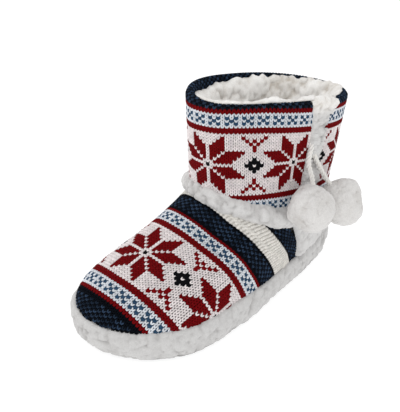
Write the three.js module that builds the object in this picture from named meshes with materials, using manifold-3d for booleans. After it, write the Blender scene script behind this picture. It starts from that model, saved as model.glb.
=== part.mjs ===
// Knitted ankle slipper boot for the left foot, lined and trimmed with fleece, with two pompoms.
// Millimetres, +Z up. The toe points to -Y and the outer side of the foot is +X.
// The sole stands on Z = 0, and the origin is under the middle of the sole.
import * as THREE from "three";
import { mergeVertices } from "three/addons/utils/BufferGeometryUtils.js";
import Module from "manifold-3d";

const wasm = await Module();
wasm.setup();

// Driving dimensions
const SOLE_LENGTH = 260;
const SOLE_WIDTH = 107;
const WALL = 5;
const GAP = 0.3;

// The last, one row for each station round the foot from the toe by the outer side to the heel and back.
// x and y place the sole edge as shares of its width and length, and ankle is the bearing in degrees
// at which the same line of the upper meets the ankle. The upper leaves the sole straight up for wallUp,
// then leans in by the share crownIn of its way and up by the share crownUp of its rise.
const LAST = [
  { at: "toe", x: -0.098, y: -0.5, ankle: -90, wallUp: 20, crownIn: 0.55, crownUp: 0.42 },
  { at: "toe_outer", x: 0.243, y: -0.452, ankle: -68, wallUp: 19, crownIn: 0.5, crownUp: 0.45 },
  { at: "ball_outer", x: 0.505, y: -0.294, ankle: -48, wallUp: 18, crownIn: 0.42, crownUp: 0.55 },
  { at: "mid_outer", x: 0.502, y: -0.073, ankle: -24, wallUp: 18, crownIn: 0.3, crownUp: 0.72 },
  { at: "waist_outer", x: 0.412, y: 0.14, ankle: 6, wallUp: 16, crownIn: 0.2, crownUp: 0.75 },
  { at: "heel_outer", x: 0.222, y: 0.414, ankle: 44, wallUp: 15, crownIn: 0.15, crownUp: 0.7 },
  { at: "heel", x: -0.061, y: 0.5, ankle: 90, wallUp: 14, crownIn: 0.2, crownUp: 0.7 },
  { at: "heel_inner", x: -0.397, y: 0.398, ankle: 136, wallUp: 15, crownIn: 0.15, crownUp: 0.7 },
  { at: "arch", x: -0.426, y: 0.139, ankle: 174, wallUp: 16, crownIn: 0.2, crownUp: 0.75 },
  { at: "ball_inner", x: -0.493, y: -0.077, ankle: 204, wallUp: 18, crownIn: 0.31, crownUp: 0.7 },
  { at: "big_toe", x: -0.488, y: -0.29, ankle: 228, wallUp: 17.5, crownIn: 0.51, crownUp: 0.42 },
  { at: "toe_inner", x: -0.37, y: -0.442, ankle: 250, wallUp: 18.6, crownIn: 0.54, crownUp: 0.41 },
];

// Ankle: rounded ovals at the rim and at the bottom of the shaft, and the seam where the upper ends.
// The rim leans down to the back and dips over the instep.
const ANKLE_X = -3.5;
const RIM = { halfLength: 68, halfWidth: 48, y: 48, z: 157 };
const RIM_TILT = -0.1;
const RIM_DIP = 6.5;
const BASE = { halfLength: 60, halfWidth: 44, y: 43, depth: 95 };
const OVAL_POWER = 2.3;
const SEAM_DEPTH = { front: 71.5, side: 90, back: 92 };
const SEAM_LAP = 1;
const RIM_ROLL = { rise: 2.5, across: [0.2, 0.5, 0.8] };

// Sole: rows of an edge profile, inset from the sole outline and height
const DECK = 23.7;
const FEATHER = { inset: 4.5, z: 24, bulge: 2 };
const OUTSOLE_TOP = 4;
const OUTSOLE_EDGE = [
  { inset: 9, z: 0 },
  { inset: 7, z: 1.2 },
  { inset: 7, z: OUTSOLE_TOP },
];
const MIDSOLE_EDGE = [
  { inset: 6.6, z: OUTSOLE_TOP + GAP },
  { inset: 6.2, z: 1.6 },
  { inset: 3.6, z: 0.9 },
  { inset: 1, z: 5 },
  { inset: 0, z: 13 },
  { inset: 0.5, z: 20 },
  { inset: 2.2, z: 24.8 },
  { inset: 3.6, z: DECK },
];
const INSOLE_EDGE = [
  { inset: 11.8, z: DECK + GAP },
  { inset: 11.8, z: 27 },
  { inset: 13.4, z: 29 },
];
const TOE_SPRING = { from: -85, rise: 4 };
const ARCH = { from: -25, to: 70, rise: 2.5 };

// Fleece pieces outside the knit
const COUNTER = { thick: 2.5, front: 59, slope: 32, bottom: 26, top: 0.96, topPerMillimetre: 0.1 };
const TRIM = { up: 8.2, frontUp: 6, top: 9.8, out: 0.88, lump: 0.05, lumps: 17 };
const SLIT = { above: 25, depth: 76, topFront: 41, topBack: 60, bottomFront: 43, bottomBack: 52 };

// Cords, as points along the route from the slit to the pompom
const CORD_RADIUS = 2;
const CORD_SIDES = 8;
const CORD_STEPS = 10;
const CORDS = {
  front: [
    [41.5, 44.8, 130.4], [44.3, 44.5, 128.8], [46.4, 42.6, 126], [47.5, 40.4, 122.2], [48.1, 39, 118.2],
    [49.2, 38.4, 114.2], [51.2, 38.2, 110.4], [53.9, 37.4, 106.8], [57, 35.2, 103.2], [60, 32, 99.4],
  ],
  back: [
    [41.3, 45.8, 124.8], [44.4, 45.6, 123], [46.9, 46, 119.8], [48.6, 47.2, 115.8], [50, 49.2, 111.4],
    [51.4, 51.4, 106.8], [53.2, 53.6, 102.2], [55.6, 55.6, 97.8], [58.3, 57.6, 93.6],
  ],
};
const POMPOM = { lockRadius: 7.2, locks: 11 };
const POMPOM_RADIUS = { front: 17.2, back: 18.4 };
const POMPOM_AT = { front: [63.5, 27.8, 88], back: [63, 63.8, 81] };

// Fineness of the facets
const AROUND = 60;
const UPPER_RINGS = 10;
const UPPER_INNER_RINGS = 6;
const SHAFT_RINGS = 6;
const TRIM_SIDES = 10;
const STEP = 1e-3;

const UP = new THREE.Vector3(0, 0, 1);

// Value at u, once round the foot for u from 0 to 1, of a smooth curve through one value per row.
function periodic(values, u) {
  const count = values.length;
  const place = (u - Math.floor(u)) * count;
  const row = Math.floor(place);
  const f = place - row;
  const [a, b, c, d] = [-1, 0, 1, 2].map((k) => values[(row + k + count) % count]);
  const slope = c - a;
  const bend = 2 * a - 5 * b + 4 * c - d;
  const twist = 3 * b - a - 3 * c + d;
  return 0.5 * (2 * b + f * (slope + f * (bend + f * twist)));
}

const column = (name, scale = 1) => LAST.map((row) => row[name] * scale);
const SOLE_X = column("x", SOLE_WIDTH);
const SOLE_Y = column("y", SOLE_LENGTH);
const WALL_UP = column("wallUp");
const CROWN_IN = column("crownIn");
const CROWN_UP = column("crownUp");
const EVEN_BEARING = LAST.map((row, i) => -90 + (360 * i) / LAST.length);
const BEARING_DRIFT = LAST.map((row, i) => row.ankle - EVEN_BEARING[i]);

// Outward direction of the sole outline, level with the floor
function outlineNormal(u) {
  const dx = periodic(SOLE_X, u + STEP) - periodic(SOLE_X, u - STEP);
  const dy = periodic(SOLE_Y, u + STEP) - periodic(SOLE_Y, u - STEP);
  return new THREE.Vector3(dy, -dx, 0).normalize();
}

function outline(u, inset, z) {
  const edge = new THREE.Vector3(periodic(SOLE_X, u), periodic(SOLE_Y, u), z);
  return edge.addScaledVector(outlineNormal(u), -inset);
}

function bearing(u) {
  return THREE.MathUtils.degToRad(-90 + 360 * u + periodic(BEARING_DRIFT, u));
}

// Point of a rounded oval at a bearing, with its long axis along Y
function oval(angle, shape) {
  const rounded = (value) => Math.sign(value) * Math.abs(value) ** (2 / OVAL_POWER);
  return { x: shape.halfWidth * rounded(Math.cos(angle)), y: shape.halfLength * rounded(Math.sin(angle)) };
}

// Outside of the shaft at a depth below the tilted rim
function shaft(u, depth) {
  const top = oval(bearing(u), RIM);
  const low = oval(bearing(u), BASE);
  const down = depth / BASE.depth;
  const x = THREE.MathUtils.lerp(top.x, low.x, down) + ANKLE_X;
  const y = THREE.MathUtils.lerp(top.y + RIM.y, low.y + BASE.y, down);
  const dip = RIM_DIP * Math.max(0, -Math.sin(bearing(u))) ** 3;
  return new THREE.Vector3(x, y, RIM.z + RIM_TILT * top.y - dip - depth);
}

function seamDepth(u) {
  const ahead = Math.sin(bearing(u));
  const end = ahead < 0 ? SEAM_DEPTH.front : SEAM_DEPTH.back;
  return THREE.MathUtils.lerp(SEAM_DEPTH.side, end, ahead * ahead);
}

// Outside of the upper, from the feather line on the sole at t = 0 to the ankle seam at t = 1
function upper(u, t) {
  const foot = outline(u, FEATHER.inset, FEATHER.z);
  const ankle = shaft(u, seamDepth(u));
  const wall = foot.clone().addScaledVector(outlineNormal(u), FEATHER.bulge);
  wall.z += periodic(WALL_UP, u);
  const crown = foot.clone().lerp(ankle, periodic(CROWN_IN, u));
  crown.z = THREE.MathUtils.lerp(foot.z, ankle.z, periodic(CROWN_UP, u));
  return new THREE.CubicBezierCurve3(foot, wall, crown, ankle).getPoint(t);
}

// A surface moved along its normal. v runs upwards on the surface, so the normal points out.
function grown(surface, u, v, distance) {
  const along = surface(u + STEP, v).sub(surface(u - STEP, v));
  const rising = surface(u, v + STEP).sub(surface(u, v - STEP));
  return surface(u, v).addScaledVector(along.cross(rising).normalize(), distance);
}

const shaftGrown = (u, depth, distance) => grown((a, height) => shaft(a, -height), u, -depth, distance);
const upperGrown = (u, t, distance) => grown(upper, u, t, distance);

const ring = (pointAt) => Array.from({ length: AROUND }, (_, i) => pointAt(i / AROUND));
const steps = (count) => Array.from({ length: count }, (_, i) => i / (count - 1));

// A closed skin over rings that turn anticlockwise seen from above and run up the outside.
// A looped skin joins the last ring to the first. Any other has a floor and a top of cross strips.
function skin(rings, looped) {
  const around = rings[0].length;
  const triangles = [];
  const triangle = (a, b, c) => {
    if (a !== b && b !== c && c !== a) triangles.push(a, b, c);
  };
  const quad = (a, b, c, d) => {
    triangle(a, b, c);
    triangle(a, c, d);
  };
  const bands = looped ? rings.length : rings.length - 1;
  for (let i = 0; i < bands; i += 1) {
    const low = i * around;
    const high = ((i + 1) % rings.length) * around;
    for (let j = 0; j < around; j += 1) {
      const next = (j + 1) % around;
      quad(low + j, low + next, high + next, high + j);
    }
  }
  if (!looped) {
    const top = (rings.length - 1) * around;
    for (let j = 0; j < around / 2; j += 1) {
      const across = (around - j) % around;
      const nextAcross = around - j - 1;
      quad(top + j, top + j + 1, top + nextAcross, top + across);
      quad(across, nextAcross, j + 1, j);
    }
  }
  const geometry = new THREE.BufferGeometry();
  const places = rings.flat().flatMap((point) => point.toArray());
  geometry.setAttribute("position", new THREE.Float32BufferAttribute(places, 3));
  geometry.setIndex(triangles);
  return geometry;
}

function toSolid(geometry) {
  const bare = geometry.clone();
  bare.deleteAttribute("normal");
  bare.deleteAttribute("uv");
  const merged = mergeVertices(bare);
  const vertProperties = merged.attributes.position.array;
  const triVerts = Uint32Array.from(merged.index.array);
  return new wasm.Manifold(new wasm.Mesh({ numProp: 3, vertProperties, triVerts }));
}

function toGeometry(solid) {
  const mesh = solid.getMesh();
  const geometry = new THREE.BufferGeometry();
  geometry.setAttribute("position", new THREE.BufferAttribute(mesh.vertProperties, 3));
  geometry.setIndex(new THREE.BufferAttribute(mesh.triVerts, 1));
  return geometry;
}

// How far the underside is lifted off the floor: nothing at the heel and the ball of the foot
function lift(y) {
  const toe = Math.max(0, (TOE_SPRING.from - y) / (SOLE_LENGTH / 2 + TOE_SPRING.from));
  const along = THREE.MathUtils.clamp((y - ARCH.from) / (ARCH.to - ARCH.from), 0, 1);
  return TOE_SPRING.rise * toe * toe + ARCH.rise * Math.sin(Math.PI * along) ** 2;
}

// A slab with a table for its edge. The lift fades out from the floor to the deck.
function soleSlab(edge) {
  return skin(edge.map(({ inset, z }) => ring((u) => {
    const point = outline(u, inset, z);
    point.z += lift(point.y) * Math.max(0, 1 - z / DECK);
    return point;
  })), false);
}

// Foot shell, open below and at the ankle: up the outside, over the seam edge and down the inside
function upperShell() {
  const outside = steps(UPPER_RINGS).map((t) => ring((u) => {
    const point = upper(u, t);
    if (t === 1) point.z -= GAP;
    return point;
  }));
  const seam = ring((u) => {
    const point = shaftGrown(u, seamDepth(u), -WALL);
    point.z -= GAP;
    return point;
  });
  const inside = steps(UPPER_INNER_RINGS).slice(1, -1).reverse()
    .map((t) => ring((u) => upperGrown(u, t, -WALL)));
  const bottom = ring((u) => outline(u, FEATHER.inset + WALL, FEATHER.z));
  return skin([...outside, seam, ...inside, bottom], true);
}

// Knitted tube above the ankle seam, with a rolled rim
function shaftShell() {
  const outside = steps(SHAFT_RINGS).reverse().map((share) => ring((u) => shaft(u, share * seamDepth(u))));
  const roll = RIM_ROLL.across.map((across) => ring((u) => {
    const point = shaftGrown(u, 0, -WALL * across);
    point.z += RIM_ROLL.rise * Math.sin(Math.PI * across);
    return point;
  }));
  const inside = steps(SHAFT_RINGS).map((share) => ring((u) => shaftGrown(u, share * seamDepth(u), -WALL)));
  return skin([...outside, ...roll, ...inside], true);
}

// Filled outer forms, used to cut what lies against the knit
function upperForm(distance, top) {
  return toSolid(skin(steps(UPPER_RINGS).map((t) => ring((u) => upperGrown(u, t * top, distance))), false));
}

function shaftForm(distance) {
  const rows = steps(SHAFT_RINGS).reverse();
  const depthAt = (u, share) => share * (seamDepth(u) + SEAM_LAP) - WALL * (1 - share);
  return toSolid(skin(rows.map((share) => ring((u) => shaftGrown(u, depthAt(u, share), distance))), false));
}

// Everything behind a plane across the foot that leans back over the heel
function heelSide(front) {
  const block = new THREE.BoxGeometry(SOLE_LENGTH, SOLE_LENGTH, SOLE_LENGTH * 2);
  block.translate(0, front + SOLE_LENGTH / 2, 0);
  return toSolid(block.rotateX(THREE.MathUtils.degToRad(COUNTER.slope)));
}

// Layer of fleece over the heel, cut between two forms grown from the upper, with a margin all round
function heelCounter(margin) {
  const bottom = COUNTER.bottom - margin;
  const above = new THREE.BoxGeometry(SOLE_LENGTH, SOLE_LENGTH * 2, SOLE_LENGTH);
  above.translate(0, 0, bottom + SOLE_LENGTH / 2);
  const top = COUNTER.top + COUNTER.topPerMillimetre * margin;
  const outside = upperForm(GAP + COUNTER.thick + margin, top);
  const layer = outside.subtract(upperForm(GAP - margin, 1));
  return layer.intersect(heelSide(COUNTER.front - margin)).intersect(toSolid(above));
}

// Roll of fleece round the ankle seam, softly lumpy and slimmer in front, cut where the knit passes through it
function ankleTrim() {
  const sides = Array.from({ length: TRIM_SIDES }, (_, i) => (2 * Math.PI * i) / TRIM_SIDES);
  const roll = skin(sides.map((angle) => ring((u) => {
    const lump = 1 + TRIM.lump * Math.sin(2 * Math.PI * TRIM.lumps * u + 2 * angle);
    const up = THREE.MathUtils.lerp(TRIM.up, TRIM.frontUp, Math.max(0, -Math.sin(bearing(u))) ** 2);
    const point = shaftGrown(u, seamDepth(u), TRIM.out * up * lump * Math.cos(angle));
    point.z += TRIM.top - up + up * lump * Math.sin(angle);
    return point;
  })), true);
  return toSolid(roll).subtract(shaftForm(GAP)).subtract(upperForm(GAP, 1)).subtract(heelCounter(GAP));
}

// Wedge across the outer wall of the shaft, narrower by a margin on every side
function slitWedge(margin) {
  const bottom = RIM.z - SLIT.depth + margin;
  const top = RIM.z + SLIT.above;
  const outlineShape = new THREE.Shape([
    new THREE.Vector2(SLIT.topFront + margin, top),
    new THREE.Vector2(SLIT.bottomFront + margin, bottom),
    new THREE.Vector2(SLIT.bottomBack - margin, bottom),
    new THREE.Vector2(SLIT.topBack - margin, top),
  ]);
  const wedge = new THREE.ExtrudeGeometry(outlineShape, { depth: RIM.halfWidth * 2, bevelEnabled: false });
  wedge.rotateX(Math.PI / 2).rotateZ(Math.PI / 2);
  return toSolid(wedge);
}

function cord(points, radius) {
  const corners = Array.from({ length: CORD_SIDES }, (_, i) => (2 * Math.PI * i) / CORD_SIDES);
  const corner = (angle) => new THREE.Vector2(radius * Math.cos(angle), radius * Math.sin(angle));
  const section = new THREE.Shape(corners.map(corner));
  const route = new THREE.CatmullRomCurve3(points.map((point) => new THREE.Vector3(...point)));
  return new THREE.ExtrudeGeometry(section, { steps: CORD_STEPS, extrudePath: route, bevelEnabled: false });
}

// A ball with round tufts fused on, spread evenly by turning through the golden angle
function pompom(centre, radius) {
  const turn = Math.PI * (3 - Math.sqrt(5));
  const ball = new THREE.IcosahedronGeometry(radius - POMPOM.lockRadius / 3, 2);
  let fluff = toSolid(ball);
  for (let i = 0; i < POMPOM.locks; i += 1) {
    const z = 1 - (2 * i + 1) / POMPOM.locks;
    const tuft = new THREE.IcosahedronGeometry(POMPOM.lockRadius, 1);
    const place = new THREE.Vector3(Math.sqrt(1 - z * z), 0, z).applyAxisAngle(UP, i * turn);
    place.multiplyScalar(radius - POMPOM.lockRadius);
    fluff = fluff.add(toSolid(tuft.translate(...place)));
  }
  return fluff.translate(centre);
}

const KNIT = { color: 0x8c1a20, roughness: 0.95, metalness: 0 };
const FLEECE = { color: 0xece8e2, roughness: 1, metalness: 0 };
const TREAD = { color: 0x3b3d44, roughness: 0.9, metalness: 0 };
const boot = new THREE.Group();

function piece(name, geometry, finish) {
  const mesh = new THREE.Mesh(geometry, new THREE.MeshStandardMaterial(finish));
  mesh.name = name;
  boot.add(mesh);
}

piece("outsole", soleSlab(OUTSOLE_EDGE), TREAD);
piece("midsole", soleSlab(MIDSOLE_EDGE), FLEECE);
piece("insole", soleSlab(INSOLE_EDGE), FLEECE);
piece("upper", upperShell(), KNIT);

const tube = toSolid(shaftShell());
piece("shaft", toGeometry(tube.subtract(slitWedge(0))), KNIT);

let gusset = tube.intersect(slitWedge(GAP));
for (const [side, points] of Object.entries(CORDS)) {
  const clearance = toSolid(cord(points, CORD_RADIUS + GAP));
  gusset = gusset.subtract(clearance);
  piece(`cord_${side}`, cord(points, CORD_RADIUS), FLEECE);
  const ball = pompom(POMPOM_AT[side], POMPOM_RADIUS[side]);
  piece(`pompom_${side}`, toGeometry(ball.subtract(clearance)), FLEECE);
}
piece("slit_gusset", toGeometry(gusset), FLEECE);

piece("heel_counter", toGeometry(heelCounter(0).subtract(shaftForm(GAP))), FLEECE);
piece("ankle_trim", toGeometry(ankleTrim()), FLEECE);

export default boot;
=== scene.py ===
"""Knitted ankle slipper boot: knit, fleece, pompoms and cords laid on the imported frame.

Lengths are millimetres until a mesh is written, and metres for lights and materials. The toe points to -Y,
the outer side of the foot is +X and the floor is Z = 0. u runs once round the foot, from the toe by the outer
side to the heel.
"""
import math

import bmesh
import bpy
import numpy as np
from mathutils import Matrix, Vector


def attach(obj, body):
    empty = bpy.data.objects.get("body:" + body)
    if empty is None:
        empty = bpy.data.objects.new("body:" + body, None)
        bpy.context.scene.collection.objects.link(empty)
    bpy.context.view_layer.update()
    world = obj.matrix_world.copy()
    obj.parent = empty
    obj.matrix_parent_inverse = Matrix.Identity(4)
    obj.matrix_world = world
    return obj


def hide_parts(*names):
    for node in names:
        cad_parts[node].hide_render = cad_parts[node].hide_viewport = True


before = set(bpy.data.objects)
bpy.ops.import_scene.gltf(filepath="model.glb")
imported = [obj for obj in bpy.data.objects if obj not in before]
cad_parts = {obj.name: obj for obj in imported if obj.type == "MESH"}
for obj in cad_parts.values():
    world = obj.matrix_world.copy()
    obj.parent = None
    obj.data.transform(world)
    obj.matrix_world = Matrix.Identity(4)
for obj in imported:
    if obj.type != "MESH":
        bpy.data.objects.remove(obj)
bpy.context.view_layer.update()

MM = 0.001
BODY = "root"
UP = np.array((0.0, 0.0, 1.0))
TURN = 2 * math.pi

# The last: shares of sole width and length, ankle bearing in degrees, then how the wall rises and leans in
SOLE_LENGTH = 260.0
SOLE_WIDTH = 107.0
LAST_COLUMNS = ("x", "y", "ankle", "wall_up", "crown_in", "crown_up")
LAST_ROWS = {
    "toe": (-0.098, -0.5, -90, 20, 0.55, 0.42),
    "toe_outer": (0.243, -0.452, -68, 19, 0.5, 0.45),
    "ball_outer": (0.505, -0.294, -48, 18, 0.42, 0.55),
    "mid_outer": (0.502, -0.073, -24, 18, 0.3, 0.72),
    "waist_outer": (0.412, 0.14, 6, 16, 0.2, 0.75),
    "heel_outer": (0.222, 0.414, 44, 15, 0.15, 0.7),
    "heel": (-0.061, 0.5, 90, 14, 0.2, 0.7),
    "heel_inner": (-0.397, 0.398, 136, 15, 0.15, 0.7),
    "arch": (-0.426, 0.139, 174, 16, 0.2, 0.75),
    "ball_inner": (-0.493, -0.077, 204, 18, 0.31, 0.7),
    "big_toe": (-0.488, -0.29, 228, 17.5, 0.51, 0.42),
    "toe_inner": (-0.37, -0.442, 250, 18.6, 0.54, 0.41),
}
LAST = {name: np.array([row[i] for row in LAST_ROWS.values()], float) for i, name in enumerate(LAST_COLUMNS)}
EVEN_BEARING = -90 + 360 * np.arange(len(LAST_ROWS)) / len(LAST_ROWS)

# Ankle, rim and sole heights
ANKLE_X = -3.5
RIM = {"half_length": 68, "half_width": 48, "y": 48, "z": 157, "tilt": -0.1, "dip": 6.5}
RIM_SET = {"front": 1.75, "front_at": -65, "back": -2.3, "back_at": 100, "fade": 60}
BASE = {"half_length": 60, "half_width": 44, "y": 43, "depth": 95}
OVAL_POWER = 2.3
SEAM_DEPTH = {"front": 71.5, "side": 90, "back": 92}
FEATHER = {"inset": 4.5, "z": 24.0, "bulge": 2.0}
DECK = 23.7
WALL = 5.0
TOE_SPRING = {"from": -85, "rise": 4.0}
ARCH = {"from": -25, "to": 70, "rise": 2.5}
STEP = 1e-3
TINY = 1e-12
FLAT = 1e-9
ONCE_ROUND = np.linspace(0, 1, 4001)

# Camera at the photograph's angle, in degrees, with lengths and lens in millimetres
CAMERA = {"azimuth": 50.143, "elevation": 29.455, "distance": 430.0, "lens": 47.33, "clip": 10.0}
CAMERA_AIM = {"across": -16.19, "x": -3.5, "z": 71.43}

# Cords: route from the slit to the pompom
CORD_ROUTES = {
    "front": [
        (41.5, 44.8, 130.4), (44.3, 44.5, 128.8), (46.4, 42.6, 126), (47.5, 40.4, 122.2), (48.1, 39, 118.2),
        (49.2, 38.4, 114.2), (51.2, 38.2, 110.4), (53.9, 37.4, 106.8), (57, 35.2, 103.2), (60, 32, 99.4),
    ],
    "back": [
        (41.3, 45.8, 124.8), (44.4, 45.6, 123), (46.9, 46, 119.8), (48.6, 47.2, 115.8), (50, 49.2, 111.4),
        (51.4, 51.4, 106.8), (53.2, 53.6, 102.2), (55.6, 55.6, 97.8), (58.3, 57.6, 93.6),
    ],
}
POMPOM_AT = {"front": (63.5, 27.8, 88), "back": (63, 63.8, 81)}


# Curves
def mixed(start, end, share):
    return start + (end - start) * share


def share_of(value, low, high):
    return np.clip((value - low) / (high - low), 0, 1)


def curve_at(a, b, c, d, f):
    """Point at a share f of the way from b to c on a smooth curve through four points."""
    bend = 2 * a - 5 * b + 4 * c - d
    twist = 3 * b - a - 3 * c + d
    return 0.5 * (2 * b + f * (c - a + f * (bend + f * twist)))


def periodic(values, u):
    """Value at u of a smooth closed curve through one value per station."""
    count = len(values)
    place = np.mod(u, 1.0) * count
    row = np.floor(place).astype(int)
    return curve_at(*(values[(row + k) % count] for k in (-1, 0, 1, 2)), place - row)


def unit(vectors):
    return vectors / np.maximum(np.linalg.norm(vectors, axis=-1, keepdims=True), TINY)


def arc_lengths(line):
    """Distance along a line of points, from its first."""
    return np.concatenate([[0], np.cumsum(np.linalg.norm(np.diff(line, axis=0), axis=1))])


def read_rows(at, places, table):
    """Rows of a table between the places where its own rows are given."""
    return np.stack([np.interp(at, places, column) for column in table.T], -1)


def evenly(line, count):
    """u values evenly spaced by length along a line given at every ONCE_ROUND."""
    arc = arc_lengths(line)
    return np.interp(np.arange(count) / count * arc[-1], arc, ONCE_ROUND)


# Shape of the last
def outline_normal(u):
    dx = periodic(LAST["x"], u + STEP) - periodic(LAST["x"], u - STEP)
    dy = periodic(LAST["y"], u + STEP) - periodic(LAST["y"], u - STEP)
    return unit(np.stack([dy * SOLE_LENGTH, -dx * SOLE_WIDTH, 0 * dx], -1))


def outline(u, inset, z):
    """Sole outline moved in by an inset, at height z."""
    x = SOLE_WIDTH * periodic(LAST["x"], u)
    y = SOLE_LENGTH * periodic(LAST["y"], u)
    edge = np.stack([x, y, z + 0 * x], -1)
    return edge - outline_normal(u) * np.asarray(inset + 0 * x)[..., None]


def bearing(u):
    drift = periodic(LAST["ankle"] - EVEN_BEARING, u)
    return np.radians(-90 + 360 * np.asarray(u) + drift)


def oval(angle, shape):
    def rounded(value):
        return np.sign(value) * np.abs(value) ** (2 / OVAL_POWER)
    return shape["half_width"] * rounded(np.cos(angle)), shape["half_length"] * rounded(np.sin(angle))


def near_bearing(angle, degrees, power):
    """1 at a bearing, falling to 0 opposite it."""
    return ((1 + np.cos(angle - math.radians(degrees))) / 2) ** power


def shaft(u, depth):
    """Outside of the shaft at a depth below the rim."""
    angle = bearing(u)
    top_x, top_y = oval(angle, RIM)
    low_x, low_y = oval(angle, BASE)
    down = depth / BASE["depth"]
    x = mixed(top_x, low_x, down) + ANKLE_X
    y = mixed(top_y + RIM["y"], low_y + BASE["y"], down)
    dip = RIM["dip"] * np.maximum(0, -np.sin(angle)) ** 3
    settle = RIM_SET["front"] * near_bearing(angle, RIM_SET["front_at"], 4)
    settle = settle + RIM_SET["back"] * near_bearing(angle, RIM_SET["back_at"], 1)
    settle = settle * np.clip(1 - depth / RIM_SET["fade"], 0, 1)
    return np.stack([x, y, RIM["z"] + RIM["tilt"] * top_y - dip + settle - depth], -1)


def seam_depth(u):
    ahead = np.sin(bearing(u))
    end = np.where(ahead < 0, SEAM_DEPTH["front"], SEAM_DEPTH["back"])
    return mixed(SEAM_DEPTH["side"], end, ahead ** 2)


def upper(u, t):
    """Outside of the foot, from the sole at t = 0 to the ankle seam at t = 1."""
    foot = outline(u, FEATHER["inset"], FEATHER["z"])
    ankle = shaft(u, seam_depth(u))
    wall = foot + outline_normal(u) * FEATHER["bulge"]
    wall[..., 2] += periodic(LAST["wall_up"], u)
    crown = mixed(foot, ankle, periodic(LAST["crown_in"], u)[..., None])
    crown[..., 2] = mixed(foot[..., 2], ankle[..., 2], periodic(LAST["crown_up"], u))
    t = np.asarray(t)[..., None]
    return (1 - t) ** 3 * foot + 3 * t * (1 - t) ** 2 * wall + 3 * t ** 2 * (1 - t) * crown + t ** 3 * ankle


def level_normal(u, depth):
    """Outward direction of the shaft at a depth, level with the floor."""
    flat = np.cross(shaft(u + STEP, depth) - shaft(u - STEP, depth), UP)
    flat[..., 2] = 0
    return unit(flat)


def surface_normal(surface, u, v):
    """Outward normal where v runs up the outside."""
    along = surface(u + STEP, v) - surface(u - STEP, v)
    rising = surface(u, v + STEP) - surface(u, v - STEP)
    return unit(np.cross(along, rising))


# Rim: the knit turns over a padded edge and goes a little way down the inside
ROLL_HALF = 2.6
ROLL_RISE = 2.6
ROLL_LENGTH = math.pi * (ROLL_HALF + ROLL_RISE) / 2


def rim_surface(u, height):
    """Shaft from below (negative height) to the rim at 0, then over the padded edge and down inside."""
    over = np.clip(height, 0, ROLL_LENGTH) * math.pi / ROLL_LENGTH
    inside = np.maximum(height - ROLL_LENGTH, 0)
    base = shaft(u, np.maximum(-height, 0) + inside)
    point = base - level_normal(u, 0 * u) * (ROLL_HALF * (1 - np.cos(over)))[..., None]
    point[..., 2] += ROLL_RISE * np.sin(over)
    return point


# Main creases as soft troughs and ridges: middle, direction, length, width and depth
CREASES = [
    ((6, -4, 80), (1, 0.1, 0), 34, 9, 1.6),
    ((38, 2, 58), (0.35, -0.75, -0.6), 22, 8, 1.1),
    ((-40, 0, 60), (-0.3, -0.8, -0.5), 22, 8, 1.2),
    ((18, -16, 128), (1, 0.5, 0.2), 26, 8, 0.9),
    ((-46, 62, 112), (0.1, 1, 0.25), 24, 9, 1.0),
    ((-8, 113, 112), (1, -0.2, 0), 26, 9, 1.2),
    ((44, 82, 120), (-0.3, 1, 0.2), 20, 8, 0.8),
]


def creased(points, normals):
    """Points pressed in along the creases, with a low ridge on each side."""
    push = np.zeros(points.shape[:-1])
    for middle, along, length, width, depth in CREASES:
        line = np.array(along, float) / np.linalg.norm(along)
        away = points - np.array(middle, float)
        far = away @ line
        across = np.linalg.norm(away - far[..., None] * line, axis=-1)
        side = (across / width) ** 2
        push += depth * np.exp(-(far / length) ** 2) * (1 - side) * np.exp(-side)
    return points - normals * push[..., None]


# Mesh writing
def add_object(name, data):
    thing = bpy.data.objects.new(name, data)
    bpy.context.scene.collection.objects.link(thing)
    return thing


def write_mesh(name, points, quads=None, triangles=None, colours=None):
    """An object from arrays. points are millimetres, colours are one RGB row per point."""
    faces = [face for part in (quads, triangles) if part is not None for face in part.tolist()]
    mesh = bpy.data.meshes.new(name)
    mesh.from_pydata((points * MM).tolist(), [], faces)
    mesh.validate()
    mesh.shade_smooth()
    if colours is not None:
        paint = mesh.color_attributes.new("paint", "FLOAT_COLOR", "POINT")
        rgba = np.concatenate([colours, np.ones((len(colours), 1))], 1)
        paint.data.foreach_set("color", rgba.astype(np.float32).ravel())
    return add_object(name, mesh)


NO_TRIANGLES = np.zeros((0, 3), int)


def join_parts(parts):
    """One set of arrays from several (points, quads, triangles, colours)."""
    points, quads, triangles, colours = zip(*parts)
    starts = np.cumsum([0] + [len(part) for part in points])
    quads = [part.reshape(-1, 4) + start for part, start in zip(quads, starts)]
    triangles = [part.reshape(-1, 3) + start for part, start in zip(triangles, starts)]
    return [np.concatenate(arrays) for arrays in (points, quads, triangles, colours)]


def make(name, arrays, material, node=None):
    """A piece of the object, riding on its body. node is what it replaces."""
    thing = write_mesh(name, *arrays)
    thing.data.materials.append(material)
    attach(thing, BODY)
    if node:
        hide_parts(node)
    return thing


def grid_quads(rows, columns, closed, looped=False):
    """Faces of a grid of points. closed joins the last column to the first, looped the last row."""
    bands = np.arange(rows if looped else rows - 1)
    i, j = np.meshgrid(bands, np.arange(columns if closed else columns - 1), indexing="ij")
    low, high = i * columns, (i + 1) % rows * columns
    right = (j + 1) % columns
    return np.stack([low + j, low + right, high + right, high + j], -1).reshape(-1, 4)


def shell_quads(rows, columns, closed):
    """Faces of an outer grid, the inner grid that follows it, and the strips that join their borders."""
    outer = grid_quads(rows, columns, closed)
    index = np.arange(rows * columns).reshape(rows, columns)
    borders = [index[0], index[-1, ::-1]]
    if not closed:
        borders = [np.concatenate([index[0], index[1:-1, -1], index[-1, ::-1], index[-2:0:-1, 0]])]
    faces = [outer, outer[:, ::-1] + index.size]
    for border in borders:
        after = np.roll(border, -1)
        faces.append(np.stack([border + index.size, after + index.size, after, border], -1))
    return np.concatenate(faces)


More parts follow.
